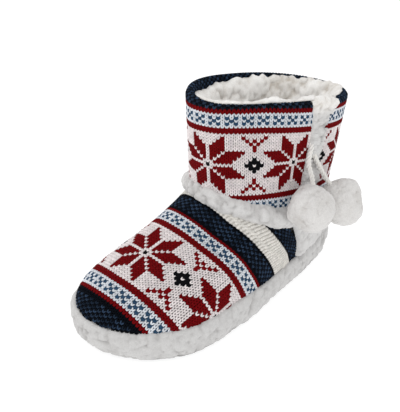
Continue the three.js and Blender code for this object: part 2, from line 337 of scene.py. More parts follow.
# Noise, with the usual large odd numbers of a mixing hash
WORD = 0xFFFFFFFF
KEY_FACTOR = 2654435761
SALT_FACTOR = 97531
MIX_STEPS = ((15, 2246822519), (13, 3266489917))
LAST_MIX = 16
CELL_FACTORS = np.array((73856093, 19349663, 83492791))
WAVES = {"count": 6, "spread": (0.7, 1.4), "turn": 6.3, "divide": 3.2}


def hashed(keys, salt):
    """Repeatable random numbers from 0 to 1 for whole-number keys."""
    value = (keys * KEY_FACTOR + salt * SALT_FACTOR) & WORD
    for shift, factor in MIX_STEPS:
        value ^= value >> shift
        value = (value * factor) & WORD
    value ^= value >> LAST_MIX
    return value / WORD


def nearest_tuft(points, spacing, salt):
    """Distance to the nearest of many scattered tufts, in spacings."""
    cell = np.floor(points / spacing).astype(np.int64)
    best = np.full(points.shape[:-1], np.inf)
    for offset in np.ndindex(3, 3, 3):
        there = cell + np.array(offset) - 1
        key = (there * CELL_FACTORS).sum(-1)
        jitter = np.stack([hashed(key, salt + k) for k in range(3)], -1)
        best = np.minimum(best, np.linalg.norm(points / spacing - there - jitter, axis=-1))
    return best


def swell(points, wavelength, salt):
    """Smooth lumps between -1 and 1."""
    rng = np.random.default_rng(salt)
    total = np.zeros(points.shape[:-1])
    for _ in range(WAVES["count"]):
        wave = unit(rng.normal(size=3)) * TURN / (wavelength * rng.uniform(*WAVES["spread"]))
        total += np.sin(points @ wave + rng.uniform(0, WAVES["turn"]))
    return total / WAVES["divide"]


# Colours. R is the same red as r, in the thin lines that are drawn fuller
def shade(code):
    """Linear colour from a hex code."""
    value = np.array([int(code[i:i + 2], 16) / 255 for i in (0, 2, 4)])
    return np.where(value < 0.04045, value / 12.92, ((value + 0.055) / 1.055) ** 2.4)


YARN_CODES = {
    "r": "73070c", "R": "73070c", ".": "f6eeee", "w": "e8ecf2", "b": "324d67", "n": "090d15", "f": "2d3d52",
    "k": "0b0b0f", "c": "e9e6e0",
}
YARN = {letter: shade(code) for letter, code in YARN_CODES.items()}
# Fleece and pompom tips are the pile's own colour; their pit colours are painted shade in the hollows between
# the tufts
FLEECE_TIP = shade("dad9d8")
FLEECE_PIT_SHADE = shade("a9a6a4")
# The lining tip is brighter than the outer fleece, painted light that lifts the shaded inside of the shaft;
# its beige pit colour is painted shade
LINING_TIP_LIT = shade("f9f7f4")
LINING_PIT_SHADE = shade("cac1b5")
POMPOM_TIP = shade("dfdddb")
POMPOM_PIT_SHADE = shade("c2beb9")
CORD_TONE = shade("f4f2ee")
CLOTH_TONE = shade("42454d")
DOT_TONE = shade("2a2b30")

# Knit charts, a quarter of the star band: rows up from its middle, columns from star to flower
STAR_BAND = (
    "k.........kk.",
    "..rrrrr....kk",
    ".r.rrrrr....k",
    ".rr.rrrrr....",
    ".rrr.rrrrr...",
    ".rrrr.......R",
    ".rrrr.......R",
    "..rrr......R.",
    "...rr.....R.R",
    "....r....R...",
    ".............",
)
STAR_REPEAT = 24
CROSS_BAND = ("wwbw", "wbwb", "wwww")
CROSS_ROW = 15
BAND_STARTS = {"thick_red": 11, "cross": 13, "thin_red": 18, "plain": 19}


def patterned(row, column):
    """Yarn of a stitch inside the star and cross bands, counted from the middle of a star."""
    up = abs(row)
    if up < BAND_STARTS["thick_red"]:
        half = STAR_REPEAT // 2
        return STAR_BAND[up][abs((column + half) % STAR_REPEAT - half)]
    if up < BAND_STARTS["cross"] or up == BAND_STARTS["thin_red"]:
        return "r"
    return CROSS_BAND[abs(up - CROSS_ROW)][column % 4]


def flecked(row, column):
    return "f" if (row + column) % 2 else "n"


CREAM = (27, 35)
SOLID_ROWS = (-20, -19, 19, 26, 36)


def foot_yarn(row, column):
    if abs(row) < BAND_STARTS["plain"]:
        return patterned(row, column)
    if CREAM[0] <= row <= CREAM[1]:
        return "c"
    return "n" if row in SOLID_ROWS else flecked(row, column)


def shaft_yarn(row, column):
    if abs(row) < BAND_STARTS["plain"]:
        return patterned(row, column)
    return flecked(row, column)


# Stitches: two yarn legs that lean apart, each a spindle of three rings between two tips, over a dark backing
# sheet whose colour is painted shade for the gaps between them
LEG_STATIONS = np.array([0.0, 0.2, 0.5, 0.8, 1.0])
LEG_GIRTH = np.array([0.0, 0.92, 1.0, 0.92, 0.0])
LEG_HEIGHT = np.array([0.1, 0.5, 0.42, 0.1, -0.45])
LEG_SECTION = np.array([(-1.0, -0.25), (-0.55, 0.62), (0.55, 0.62), (1.0, -0.25)])
PLAIN_STITCH = {
    "legs": (-1, 1), "foot": 0.08, "head": 0.92, "low": -0.28, "high": 1.16, "half": 0.42, "thick": 0.85,
    "backing_depth": 0.25, "backing_shade": 0.17,
}
RIB_STITCH = {
    "legs": (0,), "foot": 0.5, "head": 0.5, "low": -0.35, "high": 1.35, "half": 0.88, "thick": 1.2,
    "backing_depth": -0.35, "backing_shade": 0.8,
}
FULLER_YARN = {"r": 1.22, "R": 1.75, "b": 1.48, "k": 1.9}


def leg_faces():
    """Faces of one leg over 2 tips and 3 rings of 4 points, tips first."""
    sides = len(LEG_SECTION)
    first = 2 + np.arange(sides)
    last = first + 2 * sides
    foot = np.stack([0 * first, np.roll(first, -1), first], -1)
    head = np.stack([0 * last + 1, last, np.roll(last, -1)], -1)
    return 2 + grid_quads(3, sides, True), np.concatenate([foot, head])


def stitch_parts(corners, normals, yarn, style, fuller):
    """Meshes of many stitches. corners holds lower left, middle, right and upper left, middle, right."""
    count = len(corners)
    out = normals[:, None]
    girth = LEG_GIRTH[:, None]
    sway = mixed(style["foot"], style["head"], LEG_STATIONS)[:, None]
    reach = (style["high"] - style["low"]) * (LEG_STATIONS - 0.5) * (1 + fuller[:, None]) / 2
    climb = ((style["low"] + style["high"]) / 2 + reach)[..., None]
    centre = mixed(corners[:, [1]], corners[:, [4]], climb)
    half = mixed(corners[:, [2]] - corners[:, [0]], corners[:, [5]] - corners[:, [3]], climb) / 2
    half_width = np.linalg.norm(half, axis=-1, keepdims=True) * style["half"] * girth * fuller[:, None, None]
    colours = np.repeat(yarn, 2 + 3 * len(LEG_SECTION), 0)
    quads, triangles = leg_faces()
    parts = []
    for side in style["legs"]:
        line = centre + half * side * sway + out * LEG_HEIGHT[:, None]
        width = unit(np.cross(unit(np.gradient(line, axis=1)), out + 0 * line)) * half_width
        rings = [(line + width * a + out * style["thick"] * girth * b)[:, 1:4] for a, b in LEG_SECTION]
        points = np.concatenate([line[:, [0, 4]], np.stack(rings, 2).reshape(count, -1, 3)], 1)
        start = (np.arange(count) * points.shape[1])[:, None, None]
        parts.append((points.reshape(-1, 3), quads + start, triangles + start, colours))
    # Backing: a sheet under the stitches in a darkened copy of each yarn colour, painted shade that shows in
    # the gaps between stitches and ribs
    backing = corners[:, [0, 2, 5, 3]] - out * style["backing_depth"]
    flat = np.arange(count * 4).reshape(-1, 4)
    painted_gap_shade = np.repeat(yarn * style["backing_shade"], 4, 0)
    return parts + [(backing.reshape(-1, 3), flat, NO_TRIANGLES, painted_gap_shade)]


SEEDS = {"foot": 11, "shaft": 23}
YARN_UNEVEN = (0.88, 1.08)
FLECK_UNEVEN = (0.3, 1.4)


def yarn_colours(letters, seed):
    """Yarn colour of each stitch, a little uneven."""
    rng = np.random.default_rng(seed)
    base = np.array([YARN[letter] for letter in letters])
    uneven = np.array([FLECK_UNEVEN if letter == "f" else YARN_UNEVEN for letter in letters])
    return base * rng.uniform(uneven[:, :1], uneven[:, 1:])


# Small shifts of the knit where it stretches over the last, in stitches, by row and column
FOOT_SHIFT = {
    "rows": (-24, -12, 0, 12, 24, 36),
    "columns": (-9, 0, 9, 18, 27),
    "row": (
        (0.43, 0.21, -0.12, -0.75, -1.8),
        (0.47, -0.47, -0.5, -0.59, -1.86),
        (1.24, 0.26, 0.06, -0.23, -1.45),
        (1.94, 0.99, 0.29, 0.46, -0.13),
        (1.59, 0.48, -0.87, 0.03, 0.95),
        (0.6, -0.79, -1.72, -0.6, 1.76),
    ),
    "column": (
        (0.76, 0.55, 0.37, 0.14, -0.08),
        (0.71, 0.24, 0.14, 0.0, 0.48),
        (0.26, 0.25, 0.36, -0.06, 1.07),
        (0.54, 1.19, 1.06, 0.32, 1.36),
        (1.26, 0.98, 0.68, 0.42, 0.44),
        (1.64, 0.67, 0.15, 0.21, 0.24),
    ),
}
SHAFT_SHIFT = {
    "rows": (-18, -9, 0, 9, 18, 26),
    "columns": (-30, -14, -7, 0, 7, 14, 36),
    "row": (
        (0.0, -0.02, 0.14, 0.55, 1.1, 0.95, 0.0),
        (0.0, -0.4, -0.56, -0.32, 0.39, 0.16, 0.0),
        (0.0, -0.69, -1.01, -0.3, 0.5, 0.21, 0.0),
        (0.0, -0.75, -0.95, 0.07, 0.75, 0.8, 0.0),
        (0.0, -0.69, -0.98, -0.49, 0.01, 0.39, 0.0),
        (0.0, -0.6, -1.08, -1.29, -1.05, -0.51, 0.0),
    ),
    "column": (
        (0.0, 0.85, 1.48, 1.72, 1.77, 1.25, 0.0),
        (0.0, 0.48, 0.87, 0.78, 0.93, 0.7, 0.0),
        (0.0, 0.06, 0.15, 0.4, 0.54, 0.33, 0.0),
        (0.0, -0.21, -0.28, 0.2, 0.52, -0.2, 0.0),
        (0.0, -0.22, -0.25, 0.19, 0.49, -0.24, 0.0),
        (0.0, -0.05, 0.0, 0.11, 0.16, 0.08, 0.0),
    ),
}


def shifted(table, way, row, column):
    """Shift of the knit in a row, read between the rows and columns of its table."""
    rows = [np.interp(column, table["columns"], values) for values in table[way]]
    at = np.interp(row, table["rows"], np.arange(len(rows)))
    i = min(int(at), len(rows) - 2)
    return mixed(rows[i], rows[i + 1], at - i)


# Knit of the foot: rows lie in planes that lean back over the toes, columns are counted along each row
FOOT_LEAN = math.radians(32)
FOOT_MIDDLE = -28.5
FOOT_ROW = 2.24
FOOT_ROW_EASE = 0.0046
TOE_ROW = 2.3
TOE_ROW_EASE = 0.018
FOOT_THIN_STRETCH = 0.35
FOOT_COLUMN = 3.2
FOOT_STAR_AT = 0.5
BOW = {"middle": 38.0, "reach": 50.0, "limit": 1.3, "toe": 11.7, "ankle": 5.5, "toe_at": -70, "ankle_at": 10}
FOOT_ROWS = (-30, 43)
FOOT_COLUMNS = (-37, 32)
FOOT_U = np.linspace(0, 0.42, 841)
FOOT_T = np.linspace(-0.2, 1.0, 199)
HINGE_LEAN = 20.0
SHORTEST_ROW = 3
SOLE_HIDES = 17.5


def lean(points):
    return points[..., 1] * math.cos(FOOT_LEAN) + points[..., 2] * math.sin(FOOT_LEAN)


def foot_row_lean(row):
    last = -BAND_STARTS["thin_red"]
    main = np.maximum(row, last)
    value = FOOT_MIDDLE + FOOT_ROW * main - FOOT_ROW_EASE * main ** 2
    below = np.maximum(0.0, last - row)
    stretch = FOOT_ROW * FOOT_THIN_STRETCH * np.clip(2 * below, 0, 1)
    return value - TOE_ROW * below * (1 - TOE_ROW_EASE * below) - stretch


def bow(across, level):
    """How far a row bends towards the toe, away from the middle of its curve."""
    size = mixed(BOW["toe"], BOW["ankle"], share_of(level, BOW["toe_at"], BOW["ankle_at"]))
    angle = np.clip((across - BOW["middle"]) / BOW["reach"], -BOW["limit"], BOW["limit"])
    return -size * (1 - np.cos(angle))


def walked(level, row_u, arc, hinge):
    """Distance from the middle of the foot along a row, counted from its outer end above the hinge."""
    if level < HINGE_LEAN:
        return arc
    if row_u[0] == 0:
        return arc * hinge / arc[-1]
    return hinge - arc[-1] + arc


def row_slice(points, levels, target):
    """u and t where lines up the foot reach their target level, and the distance along that row."""
    index = (levels < target[:, None]).sum(1)
    ok = (index > 0) & (index < len(FOOT_T))
    k = np.clip(index, 1, len(FOOT_T) - 1)
    lines = np.arange(len(FOOT_U))
    low = levels[lines, k - 1]
    f = np.clip((target - low) / np.maximum(levels[lines, k] - low, FLAT), 0, 1)
    where = mixed(points[lines, k - 1], points[lines, k], f[:, None])
    row_t = mixed(FOOT_T[k - 1], FOOT_T[k], f)
    return FOOT_U[ok], row_t[ok], arc_lengths(where[ok])


def foot_lattice():
    """Row edges, then u and t of every corner of the foot's stitches, by row edge and half column."""
    halves = np.arange(2 * FOOT_COLUMNS[0] - 1, 2 * FOOT_COLUMNS[1] + 2) / 2
    edges = np.arange(FOOT_ROWS[0], FOOT_ROWS[1] + 2)
    lattice_u = np.full((len(edges), len(halves)), np.nan)
    lattice_t = lattice_u.copy()
    for side in (-1, 1):
        points = upper(*np.meshgrid(side * FOOT_U, FOOT_T, indexing="ij"))
        levels = np.maximum.accumulate(lean(points), axis=1)
        hinge = row_slice(points, levels, HINGE_LEAN + 0 * FOOT_U)[2][-1]
        for i, row in enumerate(edges - 0.5):
            level = foot_row_lean(row)
            wanted = FOOT_STAR_AT + FOOT_COLUMN * (halves + shifted(FOOT_SHIFT, "column", row, halves))
            row_u, row_t, arc = row_slice(points, levels, level + 0 * FOOT_U)
            if len(row_u) < SHORTEST_ROW:
                continue
            shift = np.interp(FOOT_U, row_u, side * walked(level, row_u, arc, hinge))
            column = (shift - FOOT_STAR_AT) / FOOT_COLUMN
            own_level = foot_row_lean(row + shifted(FOOT_SHIFT, "row", row, column))
            row_u, row_t, arc = row_slice(points, levels, own_level + bow(shift, level))
            if len(row_u) < SHORTEST_ROW:
                continue
            across = walked(level, row_u, arc, hinge)
            mine = (wanted * side >= max(across[0], 0)) & (wanted * side <= across[-1])
            lattice_u[i, mine] = side * np.interp(wanted[mine] * side, across, row_u)
            lattice_t[i, mine] = np.interp(wanted[mine] * side, across, row_t)
    return edges, lattice_u, lattice_t


def lattice_stitches(points, normals, rows, columns, keep):
    """Corner points, normals, row and column of each stitch whose six corners exist."""
    corners, facing, places = [], [], []
    for i in range(len(rows)):
        for j, column in enumerate(columns):
            picks = [(i + up, 2 * j + right) for up in range(2) for right in range(3)]
            six = np.array([points[pick] for pick in picks])
            if np.isnan(six).any() or not keep(six.mean(0)):
                continue
            corners.append(six)
            facing.append(np.mean([normals[pick] for pick in picks], 0))
            places.append((rows[i], column))
    return np.array(corners), unit(np.array(facing)), places


def knit_arrays(corners, normals, places, yarn_of, ribbed, seed):
    """Arrays of a knitted piece, each stitch in the yarn that yarn_of gives its row and column."""
    letters = [yarn_of(row, column) for row, column in places]
    colours = yarn_colours(letters, seed)
    fuller = np.array([FULLER_YARN.get(letter, 1.0) for letter in letters])
    parts = []
    for style, chosen in ((PLAIN_STITCH, ~ribbed), (RIB_STITCH, ribbed)):
        if chosen.any():
            parts += stitch_parts(corners[chosen], normals[chosen], colours[chosen], style, fuller[chosen])
    return join_parts(parts)


def above_sole(point):
    return point[2] > SOLE_HIDES


def foot_knit(material):
    edges, u, t = foot_lattice()
    points = upper(u, t)
    normals = surface_normal(upper, u, t)
    points = creased(points, normals)
    columns = np.arange(FOOT_COLUMNS[0], FOOT_COLUMNS[1] + 1)
    corners, facing, places = lattice_stitches(points, normals, edges[:-1], columns, above_sole)
    ribbed = np.array([CREAM[0] <= row <= CREAM[1] for row, _ in places])
    arrays = knit_arrays(corners, facing, places, foot_yarn, ribbed, SEEDS["foot"])
    make("foot_knit", arrays, material, "upper")


# Knit of the shaft: columns are lines from rim to seam, a little wider over the instep
SHAFT_MIDDLE = 40.3
SHAFT_ROW = 2.28
SHAFT_ROW_EASE = 0.0036
SHAFT_ROWS = (-21, 28)
THIN_RED_STRETCH = 0.37
ROW_DROP = {"front": 0.45, "round": 2.85, "front_at": -70, "from": 14, "fade": 40}
SHAFT_COLUMN = 2.6
SHAFT_STAR_AT = 5.0
INSTEP_STRETCH = {"more": 0.5, "reach": 40.0}
SLIT = {"above": 25, "depth": 76, "top": (41, 60), "bottom": (43, 52)}
SLIT_LAP = {"size": 2.4, "z": 139, "reach": 17}
SEAM_HIDES = 2.0


def shaft_row_height(row, column, u):
    """Height of a row against the rim. The rows lie lower round the sides and back than at the front."""
    own = row + shifted(SHAFT_SHIFT, "row", row, column)
    depth = SHAFT_MIDDLE - SHAFT_ROW * own + SHAFT_ROW_EASE * own ** 2
    if row > BAND_STARTS["thin_red"]:
        depth -= THIN_RED_STRETCH * SHAFT_ROW
    drop = ROW_DROP["front"] + ROW_DROP["round"] * (1 - near_bearing(bearing(u), ROW_DROP["front_at"], 4))
    return -depth - drop * np.clip(1 - (depth - ROW_DROP["from"]) / ROW_DROP["fade"], 0, 1)


def slit_edges(z):
    """y of the front and back edge of the slit at height z."""
    share = (RIM["z"] + SLIT["above"] - z) / (SLIT["above"] + SLIT["depth"])
    front, back = (mixed(top, low, share) for top, low in zip(SLIT["top"], SLIT["bottom"]))
    return front + SLIT_LAP["size"] * math.exp(-((z - SLIT_LAP["z"]) / SLIT_LAP["reach"]) ** 2), back


def beside_slit(point):
    front, back = slit_edges(point[2])
    low = point[2] < RIM["z"] - SLIT["depth"]
    return point[0] < 0 or low or point[1] < front or point[1] > back


def shaft_columns():
    """Whole columns round the shaft, then a table of column against u, both ways from front to back."""
    u = ONCE_ROUND - 0.5
    arc = arc_lengths(shaft(u, SHAFT_MIDDLE + 0 * u))
    arc -= np.interp(0, u, arc)
    fine = np.linspace(arc[0], arc[-1], 2 * len(u) - 1)
    width = SHAFT_COLUMN + INSTEP_STRETCH["more"] * np.exp(-(fine / INSTEP_STRETCH["reach"]) ** 2)
    count = np.concatenate([[0], np.cumsum(np.diff(fine) / width[:-1])])
    count -= np.interp(SHAFT_STAR_AT, fine, count)
    columns = np.arange(math.ceil(count[0]), math.floor(count[-1]) + 1)
    return columns, count, np.interp(fine, arc, u)


def shaft_knit(material):
    columns, count, count_u = shaft_columns()
    halves = np.arange(2 * columns[0] - 1, 2 * columns[-1] + 2) / 2
    edges = np.arange(SHAFT_ROWS[0], SHAFT_ROWS[1] + 2)
    u, height = [], []
    for row in edges - 0.5:
        u.append(np.interp(halves + shifted(SHAFT_SHIFT, "column", row, halves), count, count_u))
        height.append(shaft_row_height(row, halves, u[-1]))
    u, height = np.array(u), np.array(height)
    points = rim_surface(u, height)
    points[height < -seam_depth(u) + SEAM_HIDES] = np.nan
    normals = surface_normal(rim_surface, u, height)
    points = creased(points, normals)
    corners, facing, places = lattice_stitches(points, normals, edges[:-1], columns, beside_slit)
    star_rows = BAND_STARTS["thick_red"]
    outer = np.array([not -star_rows <= row < star_rows for row, _ in places])
    for name, chosen in (("shaft_knit_stars", ~outer), ("shaft_knit_bands", outer)):
        picked = [spot for spot, yes in zip(places, chosen) if yes]
        ribbed = np.zeros(chosen.sum(), bool)
        arrays = knit_arrays(corners[chosen], facing[chosen], picked, shaft_yarn, ribbed, SEEDS["shaft"])
        make(name, arrays, material, "shaft")


# Fleece: nubs of two sizes on soft lumps. Curl makes the large nubs higher and narrower, salt sets the noise.
# PIT_TONE and the tone entries set painted shade: pits and the low parts of lumps are painted darker than the
# tops
NUB = {"spacing": 5.6, "height": 1.7, "reach": 0.9, "tone": 0.5}
SMALL_NUB = {"spacing": 2.8, "height": 0.9, "reach": 0.9, "tone": 0.35}
LUMP = {"wavelength": 22.0, "height": 0.7, "tone": 0.1}
WARP = {"wavelength": 7.0, "size": 1.1}
CURL = {"height": 0.4, "reach": 0.12}
PIT_TONE = 0.25
PILES = {
    "sole": {"salt": 101, "lump": 1.0, "curl": 0.4},
    "trim": {"salt": 202, "lump": 1.6, "curl": 1.0},
    "counter": {"salt": 303, "lump": 0.6, "curl": 0.4},
    "gusset": {"salt": 404, "lump": 2.0, "curl": 1.0},
    "lining": {"salt": 505, "lump": 3.0, "curl": 1.0},
    "insole": {"salt": 606, "lump": 0.8, "curl": 0.4},
    "pompom": {"salt": 707, "lump": 2.0, "curl": 0.0},
}
SALT_STEPS = {"small": 5, "warp": 31, "lump": 50}


def tufts(points, nub, salt, narrower):
    """Height of round nubs, from 0 between them to 1 at their tops."""
    away = nearest_tuft(points, nub["spacing"], salt) / (nub["reach"] - narrower)
    return np.sqrt(np.clip(1 - away ** 2, 0, 1))


def pile(points, salt, lump, curl):
    """Height of the fleece above its ground, and how far out of its pits each point is, which sets how much
    painted shade it gets.
    """
    drift = [swell(points, WARP["wavelength"], salt + SALT_STEPS["warp"] + k) for k in range(3)]
    moved = points + np.stack(drift, -1) * WARP["size"]
    large = tufts(moved, NUB, salt, CURL["reach"] * curl)
    small = tufts(moved, SMALL_NUB, salt + SALT_STEPS["small"], 0)
    out = (NUB["height"] + CURL["height"] * curl) * large + SMALL_NUB["height"] * small
    soft = lump * swell(points, LUMP["wavelength"], salt + SALT_STEPS["lump"])
    painted_light = PIT_TONE + NUB["tone"] * large + SMALL_NUB["tone"] * small + LUMP["tone"] * soft
    return out + LUMP["height"] * soft, np.clip(painted_light, 0, 1)


def fleece_colours(painted_light, pit=FLEECE_PIT_SHADE, tip=FLEECE_TIP):
    # Painted shade: pit colour in the hollows, tip colour on the tops
    return mixed(pit, tip, painted_light[..., None])


def grid_normals(points, closed):
    """Normals of a grid whose columns run anticlockwise and whose rows run up the outside."""
    if closed:
        along = np.roll(points, -1, 1) - np.roll(points, 1, 1)
    else:
        along = np.gradient(points, axis=1)
    return unit(np.cross(along, np.gradient(points, axis=0)))


def capped(part, rows, columns):
    """A grid part, closed round and open at its first and last ring, with both filled by fans."""
    points, quads, triangles, colours = part
    first = np.arange(columns)
    last = first + (rows - 1) * columns
    ends = np.array([points[first].mean(0), points[last].mean(0)])
    middle = len(points)
    floor = np.stack([np.roll(first, -1), first, 0 * first + middle], -1)
    top = np.stack([last, np.roll(last, -1), 0 * last + middle + 1], -1)
    triangles = np.concatenate([triangles, floor, top])
    return np.concatenate([points, ends]), quads, triangles, np.concatenate([colours, colours[[0, 1]]])


def grow(name, piece, points, depth, material, node=None, closed=True, looped=False, back=None, tones=()):
    """Fleece grown on a grid: a skin where back gives its thickness, else looped or capped to a whole."""
    if looped:
        normals = grid_normals(np.concatenate([points[-1:], points, points[:1]]), closed)[1:-1]
    else:
        normals = grid_normals(points, closed)
    out, painted_light = pile(points, **PILES[piece])
    rows, columns = points.shape[:2]
    flat = (points + normals * (out * depth)[..., None]).reshape(-1, 3)
    # The paint holds painted shade in the pits of the pile
    paint = fleece_colours(painted_light, *tones).reshape(-1, 3)
    if back is not None:
        flat = np.concatenate([flat, (points - normals * back).reshape(-1, 3)])
        part = (flat, shell_quads(rows, columns, closed), NO_TRIANGLES, np.concatenate([paint, paint]))
    else:
        part = (flat, grid_quads(rows, columns, closed, looped), NO_TRIANGLES, paint)
        part = part if looped else capped(part, rows, columns)
    make(name, part, material, node)


# Fleece round the sole, by rows of an edge profile: inset from the outline, height, share of the pile
SOLE_EDGE = np.array([
    (9.0, 4.4, 0.0), (6.6, 4.3, 0.0), (6.4, 1.9, 0.1), (4.2, 1.6, 0.4), (2.4, 5.0, 1.0), (1.5, 13.0, 1.0),
    (1.9, 20.0, 1.0), (3.4, 24.0, 0.9), (5.2, 24.2, 0.5), (7.5, 23.4, 0.0),
])
HEEL_DROP = {"from": -30.0, "to": 60.0, "share": 0.14}
# Painted shade on the sole fleece: its colour is scaled by 0.9 above 6 mm, darker than the other fleece,
# falling to 0.4 at 2.2 mm and below near the floor
UNDERSIDE_SHADE = {"z": (2.2, 6.0), "tone": (0.4, 0.9)}
SOLE_AROUND = 760
SOLE_STEP = 0.85


def lift(y):
    """Toe spring and arch of the underside."""
    toe = np.maximum(0, (TOE_SPRING["from"] - y) / (SOLE_LENGTH / 2 + TOE_SPRING["from"]))
    along = share_of(y, ARCH["from"], ARCH["to"])
    return TOE_SPRING["rise"] * toe ** 2 + ARCH["rise"] * np.sin(math.pi * along) ** 2


def even_rows(table, step):
    """A table of profile points filled in so that rows are a step apart."""
    length = arc_lengths(table[:, :2])
    return read_rows(np.linspace(0, length[-1], int(length[-1] / step) + 1), length, table)


def sole_around(count):
    """u values evenly spaced round the sole outline."""
    return evenly(outline(ONCE_ROUND, 0.0, 0.0), count)


def sole_ring_grid(table, around):
    u = sole_around(around)
    rings = []
    for inset, z in table[:, :2]:
        ring = outline(u, inset, z)
        ring[:, 2] *= 1 - HEEL_DROP["share"] * share_of(ring[:, 1], HEEL_DROP["from"], HEEL_DROP["to"])
        ring[:, 2] += lift(ring[:, 1]) * max(0.0, 1 - z / DECK)
        rings.append(ring)
    return np.array(rings)


def fleece_sole(material):
    rows = even_rows(SOLE_EDGE, SOLE_STEP)
    ground = sole_ring_grid(rows, SOLE_AROUND)
    # Painted shade: the sole fleece is darker all over and darkest near the floor
    painted_underside_shade = np.interp(ground[..., 2], UNDERSIDE_SHADE["z"], UNDERSIDE_SHADE["tone"])[..., None]
    tones = (FLEECE_PIT_SHADE * painted_underside_shade, FLEECE_TIP * painted_underside_shade)
    grow("sole_fleece", "sole", ground, rows[:, 2:], material, "midsole", tones=tones)


# Fleece roll round the ankle seam
TRIM = {"up": 7.2, "front_up": 5.0, "top": 8.6, "out": 0.9, "inside": -1.7, "turn": 1.8, "tuck": 0.6}
TRIM_FADE = 2.4
TRIM_AROUND = 420
TRIM_SIDES = 34


def seam_around(count):
    """u values evenly spaced round the ankle seam."""
    return evenly(shaft(ONCE_ROUND, seam_depth(ONCE_ROUND)), count)


def fleece_trim(material):
    u = seam_around(TRIM_AROUND)
    seam = shaft(u, seam_depth(u))
    out = level_normal(u, seam_depth(u))
    up = mixed(TRIM["up"], TRIM["front_up"], np.maximum(0, -np.sin(bearing(u))) ** 2)
    seam[:, 2] += TRIM["top"] - up
    up = up[:, None]
    turns = np.linspace(-TRIM["turn"], TRIM["turn"], TRIM_SIDES)
    rings = [seam + out * up * TRIM["out"] * math.cos(a) + UP * up * math.sin(a) for a in turns]
    for end in (1, -1):
        rings.append(seam + out * TRIM["inside"] + UP * up * end * TRIM["tuck"])
    depth = np.concatenate([np.clip(TRIM_FADE - np.abs(turns), 0, 1), [0, 0]])[:, None]
    grow("ankle_trim_fleece", "trim", np.array(rings), depth, material, "ankle_trim", looped=True)


# Fleece over the heel, behind a plane that leans as the knit rows do
COUNTER = {"thick": 2.2, "front": 62.0, "round": 9.0, "edge": 4.0, "top": 0.97, "back": 0.6}
COUNTER_U = np.linspace(0.24, 0.76, 1201)
COUNTER_T = np.linspace(0.0, COUNTER["top"], 201)
EDGE_PILE = 0.15
COUNTER_AROUND = 330
COUNTER_RISE = 46


def behind_front(u, t):
    """How far points lie behind the counter's front edge, which rounds forward at the sole."""
    return lean(upper(u, t)) + COUNTER["round"] * (1 - t / COUNTER["top"]) ** 3 - COUNTER["front"]


def fleece_counter(material):
    levels = behind_front(*np.meshgrid(COUNTER_U, COUNTER_T, indexing="ij"))
    reached = levels[:, -1] > 0
    u = COUNTER_U[reached]
    start = COUNTER_T[(levels[reached] < 0).sum(1)]
    pick = np.linspace(u[0], u[-1], COUNTER_AROUND)
    low = np.interp(pick, u, start)
    rise = mixed(low, COUNTER["top"], np.linspace(0, 1, COUNTER_RISE)[:, None])
    around = pick + 0 * rise
    points = upper(around, rise)
    normals = surface_normal(upper, around, rise)
    edge = np.clip(behind_front(around, rise) / COUNTER["edge"], 0, 1)
    edge = np.sin(edge * math.pi / 2)
    ground = points + normals * (COUNTER["thick"] * edge)[..., None]
    depth = mixed(EDGE_PILE, 1, edge)
    skin = {"closed": False, "back": COUNTER["back"]}
    grow("heel_counter_fleece", "counter", ground, depth, material, "heel_counter", **skin)


# Fleece in the slit, folded out over the rim
GUSSET = {
    "swell": 3.4, "under": -1.2, "lap": 1.5, "rim_swell": 2.2, "round": 0.6, "inside": 16.0, "back": 1.0,
    "pile": 1.3, "fold": 8.0,
}
GUSSET_SPREAD = {"size": 13.0, "below": 16.0}
RAGGED = 1.3
RAGGED_WAVES = ((2.1, 0.0), (1.27, 2.0), (3.4, 0.0))
SLIT_U = np.linspace(0.15, 0.45, 1201)
GUSSET_ROWS = 190
GUSSET_COLUMNS = 40


def fleece_gusset(material):
    heights = np.linspace(-SLIT["depth"], ROLL_LENGTH + GUSSET["inside"], GUSSET_ROWS)
    across = np.linspace(-1, 1, GUSSET_COLUMNS)
    rows = []
    for height in heights:
        line = shaft(SLIT_U, np.maximum(-height, 0) + 0 * SLIT_U)
        front, back = slit_edges(min(RIM["z"] + min(height, 0), RIM["z"]))
        spread = GUSSET_SPREAD["size"] * np.clip(1 + height / GUSSET_SPREAD["below"], 0, 1) ** 2
        ragged = RAGGED * sum(math.sin(rate * height + phase) for rate, phase in RAGGED_WAVES)
        y = np.linspace(front - GUSSET["lap"], back + GUSSET["lap"] + spread + ragged, GUSSET_COLUMNS)
        u = np.interp(y, line[:, 1], SLIT_U)
        level = height + 0 * u
        over = np.clip((height / GUSSET["fold"] + 1) / 2, 0, 1)
        swollen = mixed(GUSSET["swell"], GUSSET["rim_swell"], over)
        bulge = GUSSET["under"] + swollen * (1 - across ** 2) ** GUSSET["round"]
        rows.append(rim_surface(u, level) + surface_normal(rim_surface, u, level) * bulge[:, None])
    depth = np.clip(GUSSET["pile"] * (1 - across ** 4), 0, 1)[None, :]
    inner = np.clip(heights / GUSSET["fold"] + 1, 0, 1)[:, None, None]
    # Inside the rim the slit fleece takes the lining colours, with their painted light and shade
    tones = (mixed(FLEECE_PIT_SHADE, LINING_PIT_SHADE, inner), mixed(FLEECE_TIP, LINING_TIP_LIT, inner))
    skin = {"closed": False, "back": GUSSET["back"], "tones": tones}
    grow("slit_fleece", "gusset", np.array(rows), depth, material, "slit_gusset", **skin)


# Lining, from the rim down inside the shaft and the foot to the insole
LINING = {
    "pile": 1.4, "below": 1.2, "back": 0.3, "over": 0.5, "thick": 3.2, "rise": 6.0, "short": 5.0,
    "foot": (0.95, 0.04), "lip": (0.3, 20.0),
}
LINING_EDGE = {"front": 0.3, "back": 1.3, "back_at": 130, "wavelength": 11.0, "salt": 77}
LINING_TOP = {
    "bearing": (-90, -50, 0, 20, 50, 62, 80, 92, 130, 170, 210, 240, 270),
    "height": (4.6, 4.6, 4.4, 5.5, 6.2, 2.9, 2.9, 6.4, 6.2, 8.0, 13.0, 9.0, 4.6),
}
LINING_AROUND = 330
LINING_ROWS = (60, 44)


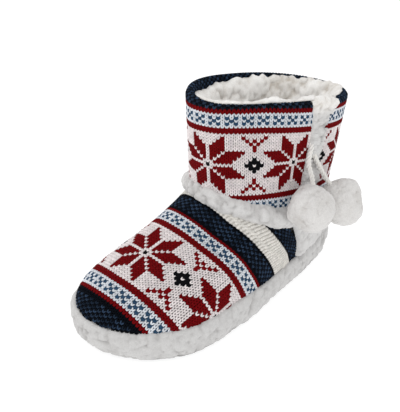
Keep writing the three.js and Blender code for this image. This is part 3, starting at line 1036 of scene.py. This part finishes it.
def fleece_lining(material):
    u = seam_around(LINING_AROUND)
    angle = bearing(u)
    top = np.interp(np.degrees(angle), LINING_TOP["bearing"], LINING_TOP["height"])
    near_back = near_bearing(angle, LINING_EDGE["back_at"], 1)
    ragged = mixed(LINING_EDGE["front"], LINING_EDGE["back"], near_back)
    top = top + swell(shaft(u, 0 * u), LINING_EDGE["wavelength"], LINING_EDGE["salt"]) * ragged
    low = ROLL_LENGTH + seam_depth(u) - LINING["short"]
    height = mixed(top, low, np.linspace(0, 1, LINING_ROWS[0])[:, None])
    tube = rim_surface(u + 0 * height, height)
    padding = LINING["over"] + LINING["thick"] * np.clip((height - top) / LINING["rise"], 0, 1) ** 0.5
    tube = tube + surface_normal(rim_surface, u + 0 * height, height) * padding[..., None]
    t = np.linspace(*LINING["foot"], LINING_ROWS[1])[:, None] + 0 * u
    around = u + 0 * t
    foot = upper(around, t) - surface_normal(upper, around, t) * (WALL + LINING["below"])
    ground = np.concatenate([tube, foot])
    depth = LINING["pile"] * np.minimum(np.linspace(*LINING["lip"], len(ground)), 1)[:, None]
    # Painted light and shade inside the shaft: bright lining tips and beige pits
    tones = (LINING_PIT_SHADE, LINING_TIP_LIT)
    grow("lining_fleece", "lining", ground, depth, material, back=LINING["back"], tones=tones)


# Insole and outsole, rings drawn in towards the middle of the sole
SOLE_MIDDLE = np.array((-4.0, -4.0, 0.0))
HUB = 0.02
INSOLE = {"inset": 11.5, "flare": 0.4, "low": 24.2, "z": 27.6, "around": 330, "rings": 34}
OUTSOLE = {"inset": 7.2, "low": 0.7, "high": 3.9, "bevel": (1.2, 1.0), "around": 240, "rings": 12}
GRIP = {"spacing": 7.0, "row": 0.866, "near": 1.5, "radius": 1.5, "inset": 13.0, "sides": 10}
GRIP_U = np.linspace(0, 1, 721)
GRIP_RINGS = ((1.0, 0.9), (0.8, 0.25), (0.45, 0.02))


def drawn_in(edge, shares):
    return np.array([SOLE_MIDDLE * (1 - share) * (1, 1, 0) + edge * (share, share, 1) for share in shares])


def fleece_insole(material):
    u = sole_around(INSOLE["around"])
    top = drawn_in(outline(u, INSOLE["inset"], INSOLE["z"]), np.linspace(1, HUB, INSOLE["rings"]))
    wall = outline(u, INSOLE["inset"] - INSOLE["flare"], INSOLE["low"])[None]
    ground = np.concatenate([wall, top])
    depth = np.concatenate([[0.0], np.ones(len(top))])[:, None]
    grow("insole_fleece", "insole", ground, depth, material, "insole")


def one_tone(points, tone):
    return np.tile(tone, (len(points), 1))


def grip_dots():
    """Low domes under the sole, in rows set off by half a step."""
    edge = outline(GRIP_U, GRIP["inset"], 0.0)
    spacing = GRIP["spacing"]
    sides = GRIP["sides"]
    dots = []
    for i, y in enumerate(np.arange(-SOLE_LENGTH / 2, SOLE_LENGTH / 2, spacing * GRIP["row"])):
        near = edge[np.abs(edge[:, 1] - y) < GRIP["near"], 0]
        shift = spacing / 2 * (i % 2)
        if len(near) > 1:
            first = math.ceil((near.min() - shift) / spacing)
            last = math.floor((near.max() - shift) / spacing)
            dots += [(k * spacing + shift, y) for k in range(first, last + 1)]
    dots = np.array(dots)
    turn = TURN * np.arange(sides) / sides
    ring = GRIP["radius"] * np.stack([np.cos(turn), -np.sin(turn), 0 * turn], -1)
    dome = np.concatenate([ring * share + UP * z for share, z in GRIP_RINGS])
    points = np.stack([*dots.T, lift(dots[:, 1])], -1)[:, None] + dome
    top = len(dome) - sides
    fan = [(top, top + k, top + k + 1) for k in range(1, sides - 1)]
    fan += [(0, k + 1, k) for k in range(1, sides - 1)]
    start = (np.arange(len(dots)) * len(dome))[:, None, None]
    quads = grid_quads(len(GRIP_RINGS), sides, True) + start
    flat = points.reshape(-1, 3)
    return join_parts([(flat, quads, np.array(fan) + start, one_tone(flat, DOT_TONE))])


def cloth_outsole(material, dot_material):
    u = sole_around(OUTSOLE["around"])
    shares = np.linspace(HUB, 1, OUTSOLE["rings"])
    under = drawn_in(outline(u, OUTSOLE["inset"] + OUTSOLE["bevel"][0], OUTSOLE["low"]), shares)
    edge = outline(u, OUTSOLE["inset"], OUTSOLE["low"] + OUTSOLE["bevel"][1])[None]
    over = drawn_in(outline(u, OUTSOLE["inset"], OUTSOLE["high"]), shares[::-1])
    ground = np.concatenate([under, edge, over])
    ground[..., 2] += lift(ground[..., 1]) * (1 - ground[..., 2] / DECK)
    rows, columns = ground.shape[:2]
    flat = ground.reshape(-1, 3)
    part = (flat, grid_quads(rows, columns, True), NO_TRIANGLES, one_tone(flat, CLOTH_TONE))
    make("outsole_cloth", capped(part, rows, columns), material, "outsole")
    make("grip_dots", grip_dots(), dot_material)


# Pompoms and cords
POMPOM = {"front": 15.1, "back": 16.2, "detail": 6}
CORD = {"plies": 3, "ply_radius": 1.0, "orbit": 1.0, "pitch": 9.0, "sides": 8, "steps": 90}
CORD_ACROSS = (0.3, 1.0, 0.1)
ROUTE_STEPS = 40


def pompom(side, material):
    ball = bmesh.new()
    bmesh.ops.create_icosphere(ball, subdivisions=POMPOM["detail"], radius=1.0)
    facing = unit(np.array([vertex.co for vertex in ball.verts]))
    triangles = np.array([[vertex.index for vertex in face.verts] for face in ball.faces])
    ball.free()
    ground = np.array(POMPOM_AT[side], float) + facing * POMPOM[side]
    out, painted_light = pile(ground, **PILES["pompom"])
    # Painted shade in the pits of the pompom
    paint = fleece_colours(painted_light, POMPOM_PIT_SHADE, POMPOM_TIP)
    arrays = (ground + facing * out[:, None], None, triangles, paint)
    return make(f"pompom_{side}_pile", arrays, material, f"pompom_{side}")


def smooth_route(points, steps):
    """Evenly spaced points on a curve through the route's points."""
    route = np.array(points, float)
    padded = np.concatenate([[2 * route[0] - route[1]], route, [2 * route[-1] - route[-2]]])
    place_at = np.linspace(0, len(route) - 1, ROUTE_STEPS * len(route))
    row = np.minimum(place_at.astype(int), len(route) - 2)
    line = curve_at(*(padded[row + k] for k in range(4)), (place_at - row)[:, None])
    arc = arc_lengths(line)
    return read_rows(np.linspace(0, arc[-1], steps), arc, line), arc[-1]


def twisted_cord(side, material, ball):
    line, length = smooth_route(CORD_ROUTES[side], CORD["steps"])
    along = unit(np.gradient(line, axis=0))
    across = unit(np.cross(along, CORD_ACROSS))
    upward = np.cross(along, across)

    def spoke(angle):
        return across * np.cos(angle) + upward * np.sin(angle)

    turn = TURN * np.linspace(0, length, CORD["steps"])[:, None] / CORD["pitch"]
    parts = []
    for ply in range(CORD["plies"]):
        angle = turn + TURN * ply / CORD["plies"]
        centre = line + spoke(angle) * CORD["orbit"]
        corners = angle + TURN * np.arange(CORD["sides"]) / CORD["sides"]
        rings = [centre + CORD["ply_radius"] * spoke(corner[:, None]) for corner in corners.T]
        flat = np.stack(rings, 1).reshape(-1, 3)
        quads = grid_quads(CORD["steps"], CORD["sides"], True)
        part = (flat, quads, NO_TRIANGLES, one_tone(flat, CORD_TONE))
        parts.append(capped(part, CORD["steps"], CORD["sides"]))
    thing = make(f"cord_{side}_twist", join_parts(parts), material, f"cord_{side}")


# Camera, light and floor
def add_camera():
    a = math.radians(CAMERA["azimuth"])
    e = math.radians(CAMERA["elevation"])
    back = Vector((math.sin(a) * math.cos(e), -math.cos(a) * math.cos(e), math.sin(e)))
    aim = Vector((math.cos(a), math.sin(a), 0)) * CAMERA_AIM["across"]
    aim += Vector((CAMERA_AIM["x"], 0, CAMERA_AIM["z"]))
    camera = add_object("camera", bpy.data.cameras.new("camera"))
    camera.data.lens = CAMERA["lens"]
    camera.data.clip_start = CAMERA["clip"] * MM
    camera.location = (aim + back * CAMERA["distance"]) * MM
    camera.rotation_euler = (math.pi / 2 - e, 0, a)
    bpy.context.scene.camera = camera


LIGHTS = {
    "key": {"at": (0.5, -1.1, 1.3), "size": 0.9, "power": 3},
    "fill": {"at": (-1.2, -0.2, 0.9), "size": 1.2, "power": 3},
}
LIGHT_AIM = Vector((0, 0, 0.06))
WHITE = (1, 1, 1, 1)
FLOOR = {"half": 4000, "tone": (0.3, 0.3, 0.3), "roughness": 0.9, "glow": 0.82}
SKY = 0.85


def add_light(name, at, size, power):
    lamp = bpy.data.lights.new(name, "AREA")
    lamp.shape = "DISK"
    lamp.size = size
    lamp.energy = power
    light = add_object(name, lamp)
    light.location = at
    light.rotation_euler = (LIGHT_AIM - Vector(at)).to_track_quat("-Z", "Y").to_euler()


def give(node, values):
    for name, value in values.items():
        node.inputs[name].default_value = value
    return node


def plain_material(name, colour, roughness):
    material = bpy.data.materials.new(name)
    material.use_nodes = True
    give(material.node_tree.nodes["Principled BSDF"], {"Base Color": (*colour, 1), "Roughness": roughness})
    return material


def add_floor():
    points = FLOOR["half"] * np.array([(-1, -1, 0), (1, -1, 0), (1, 1, 0), (-1, 1, 0)], float)
    floor = write_mesh("floor", points, np.array([(0, 1, 2, 3)]))
    material = plain_material("floor", FLOOR["tone"], FLOOR["roughness"])
    shader = material.node_tree.nodes["Principled BSDF"]
    give(shader, {"Emission Color": WHITE, "Emission Strength": FLOOR["glow"]})
    floor.data.materials.append(material)


def add_world():
    world = bpy.data.worlds.new("studio")
    world.use_nodes = True
    give(world.node_tree.nodes["Background"], {"Color": WHITE, "Strength": SKY})
    bpy.context.scene.world = world


# Materials
NEUTRAL = (0.8, 0.8, 0.8)
SPECULAR = 0.08
FIBRE_DETAIL = 4
FIBRE_RANGE = (0.3, 0.7)
WAVE_PERIOD = math.pi / 10
WEAVE_WAVER = 0.5
WEAVE_RANGE = (0.0, 0.6)
RELIEF = 0.0003


def fibres(tree, where, grain):
    noise = give(tree.nodes.new("ShaderNodeTexNoise"), {"Scale": grain, "Detail": FIBRE_DETAIL})
    tree.links.new(where, noise.inputs["Vector"])
    return noise.outputs["Fac"]


def woven(tree, where, pitch):
    """Height of a plain weave with its threads a pitch apart, in metres."""
    cross = tree.nodes.new("ShaderNodeMath")
    cross.operation = "MULTIPLY"
    for i, way in enumerate("XY"):
        wave = tree.nodes.new("ShaderNodeTexWave")
        wave.bands_direction = way
        give(wave, {"Scale": WAVE_PERIOD / pitch, "Distortion": WEAVE_WAVER})
        tree.links.new(where, wave.inputs["Vector"])
        tree.links.new(wave.outputs["Fac"], cross.inputs[i])
    return cross.outputs["Value"]


def painted_material(name, roughness, sheen, bump, mottle, grain=None, weave=None):
    """Colour from the mesh paint, mottled, with a fine bump of fibres or of a weave."""
    material = plain_material(name, NEUTRAL, roughness)
    tree = material.node_tree
    shader = give(tree.nodes["Principled BSDF"], {"Sheen Weight": sheen, "Specular IOR Level": SPECULAR})
    paint = tree.nodes.new("ShaderNodeVertexColor")
    paint.layer_name = "paint"
    where = tree.nodes.new("ShaderNodeTexCoord").outputs["Object"]
    height = woven(tree, where, weave) if weave else fibres(tree, where, grain)
    low, high = WEAVE_RANGE if weave else FIBRE_RANGE
    span = {"From Min": low, "From Max": high, "To Min": 1 - mottle, "To Max": 1 + mottle / 3}
    ramp = give(tree.nodes.new("ShaderNodeMapRange"), span)
    tint = tree.nodes.new("ShaderNodeMix")
    tint.data_type = "RGBA"
    tint.blend_type = "MULTIPLY"
    give(tint, {"Factor": 1})
    relief = give(tree.nodes.new("ShaderNodeBump"), {"Strength": bump, "Distance": RELIEF})
    for start, end in (
        (height, ramp.inputs["Value"]),
        (paint.outputs["Color"], tint.inputs["A"]),
        (ramp.outputs["Result"], tint.inputs["B"]),
        (tint.outputs["Result"], shader.inputs["Base Color"]),
        (height, relief.inputs["Height"]),
        (relief.outputs["Normal"], shader.inputs["Normal"]),
    ):
        tree.links.new(start, end)
    return material


add_camera()
bpy.context.scene.view_settings.view_transform = "Standard"
add_world()
for name, values in LIGHTS.items():
    add_light(name, **values)
add_floor()

KNIT = painted_material("knit_yarn", roughness=0.95, sheen=0.0, bump=0.5, mottle=0.18, grain=1500)
FLEECE = painted_material("fleece_pile", roughness=1.0, sheen=0.2, bump=0.6, mottle=0.1, grain=1000)
PLUSH = painted_material("pompom_pile", roughness=1.0, sheen=0.25, bump=0.6, mottle=0.1, grain=1000)
TWIST = painted_material("cord_twist", roughness=0.9, sheen=0.2, bump=0.6, mottle=0.1, grain=1600)
CLOTH = painted_material("sole_cloth", roughness=0.95, sheen=0.1, bump=0.9, mottle=0.45, weave=0.0014)
DOTS = painted_material("grip_rubber", roughness=0.6, sheen=0.0, bump=0.25, mottle=0.15, grain=700)

for name in POMPOM_AT:
    twisted_cord(name, TWIST, pompom(name, PLUSH))
foot_knit(KNIT)
shaft_knit(KNIT)
fleece_sole(FLEECE)
fleece_trim(FLEECE)
fleece_counter(FLEECE)
fleece_gusset(FLEECE)
fleece_lining(FLEECE)
fleece_insole(FLEECE)
cloth_outsole(CLOTH, DOTS)
